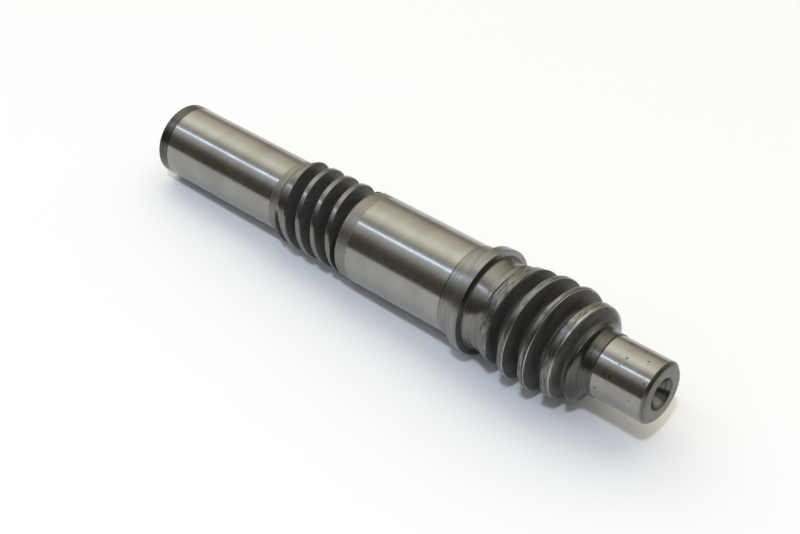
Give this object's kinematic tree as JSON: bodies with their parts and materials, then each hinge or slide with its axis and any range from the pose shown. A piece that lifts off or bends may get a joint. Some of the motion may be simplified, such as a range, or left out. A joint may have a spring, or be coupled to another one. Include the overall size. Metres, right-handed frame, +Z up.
{
  "type": "worm shaft",
  "caption": "One-piece steel worm shaft: ground bearing journals, a small right-hand worm, a thrust collar and a larger left-hand worm on one bar, with centre holes in its ends.",
  "frame": {"origin": "on the shaft's axis, halfway between its end faces", "axes": "+X along the shaft's axis towards the thin front journal, +Z up as the shaft lies on a table"},
  "size_m": [0.12, 0.0212, 0.0212],
  "materials": {
    "steel": "ground journals, turned lands, dark hobbed flanks"
  },
  "bodies": {
    "root": {"worm_shaft": "steel"}
  },
  "joints": []
}
